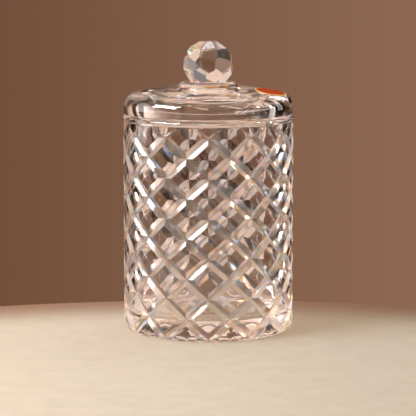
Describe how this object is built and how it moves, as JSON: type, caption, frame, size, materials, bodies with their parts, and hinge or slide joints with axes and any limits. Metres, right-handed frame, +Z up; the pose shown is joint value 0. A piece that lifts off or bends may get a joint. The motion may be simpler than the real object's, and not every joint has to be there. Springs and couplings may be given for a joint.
{
  "type": "candy jar",
  "caption": "Round cut-crystal candy jar with a lattice of V-grooves, and a domed lift-off lid with a faceted ball knob.",
  "frame": {"origin": "middle of the jar's flat base, on the surface it stands on", "axes": "+Z up along the jar's axis, -Y towards the front, +X to the right as the front is seen"},
  "size_m": [0.121, 0.121, 0.2037],
  "materials": {
    "crystal": "polished clear crystal",
    "label": "orange foil paper with a gold edge"
  },
  "bodies": {
    "jar": {"jar": "crystal"},
    "lid": {"lid": "crystal", "finial_collar": "crystal", "finial_ball": "crystal", "label": "label"}
  },
  "joints": [
    {"name": "lid_lift", "type": "slide", "parent": "jar", "child": "lid", "axis": [0, 0, 1], "range_m": [0, 0.1]}
  ]
}
